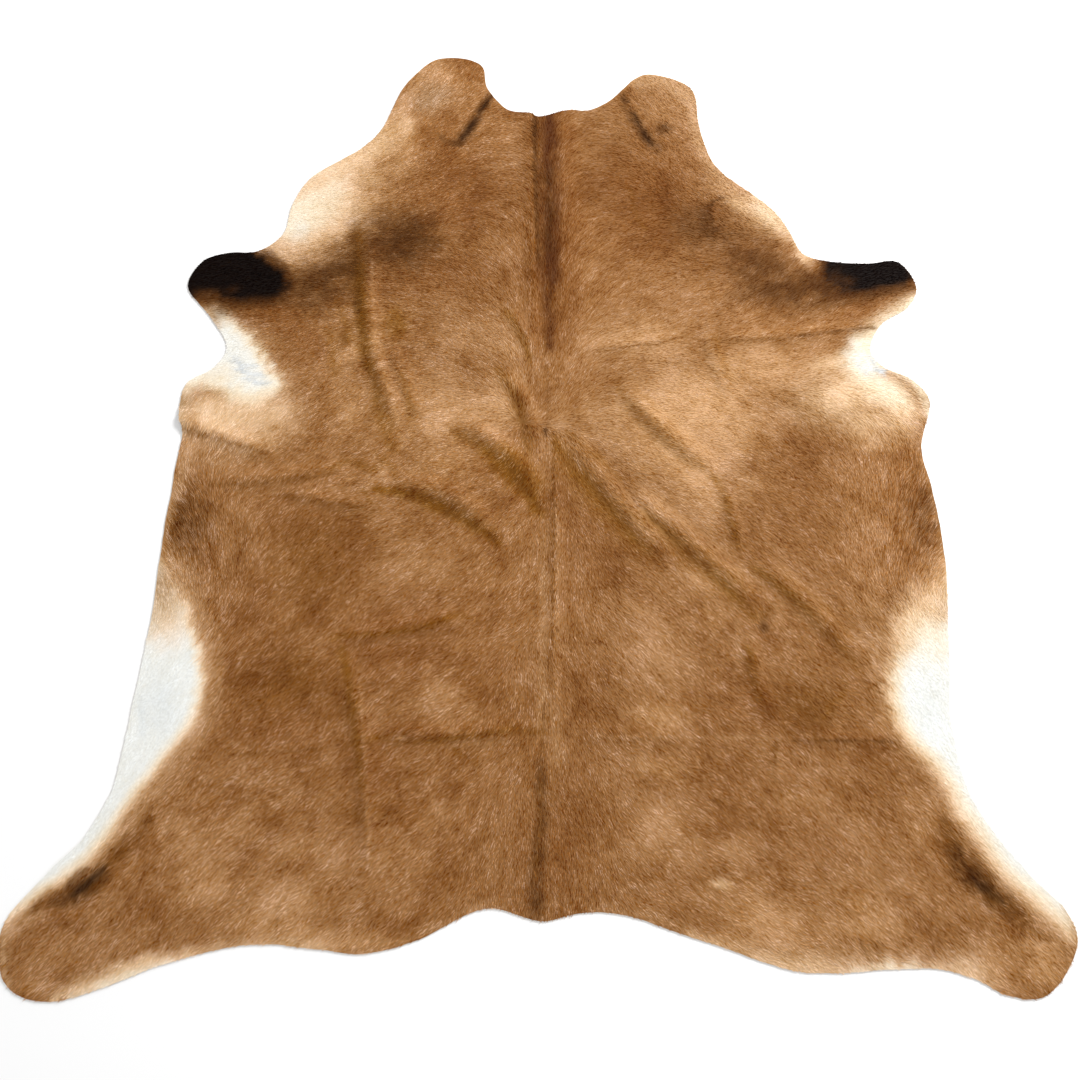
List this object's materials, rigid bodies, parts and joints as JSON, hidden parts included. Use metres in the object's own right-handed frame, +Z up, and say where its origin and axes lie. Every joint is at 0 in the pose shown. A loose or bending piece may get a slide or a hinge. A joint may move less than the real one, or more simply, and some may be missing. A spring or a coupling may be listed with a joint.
{
  "type": "cowhide rug",
  "caption": "Whole tanned hide lying flat on a floor, hair side up, with neck lobes, forelegs and hind legs, soft creases and a hand-cut edge, used as a floor covering.",
  "frame": {"origin": "on the floor under the middle of the hide's bounding box", "axes": "+Z up out of the hair side, +Y from the tail to the neck, +X to the hide's right as seen from above with the neck away"},
  "size_m": [2.0496, 2.1468, 0.0178],
  "materials": {
    "hide": "short flat caramel-brown hair with near-black foreleg marks and off-white belly edges, matte suede underneath"
  },
  "bodies": {
    "root": {"hide": "hide"}
  },
  "joints": []
}
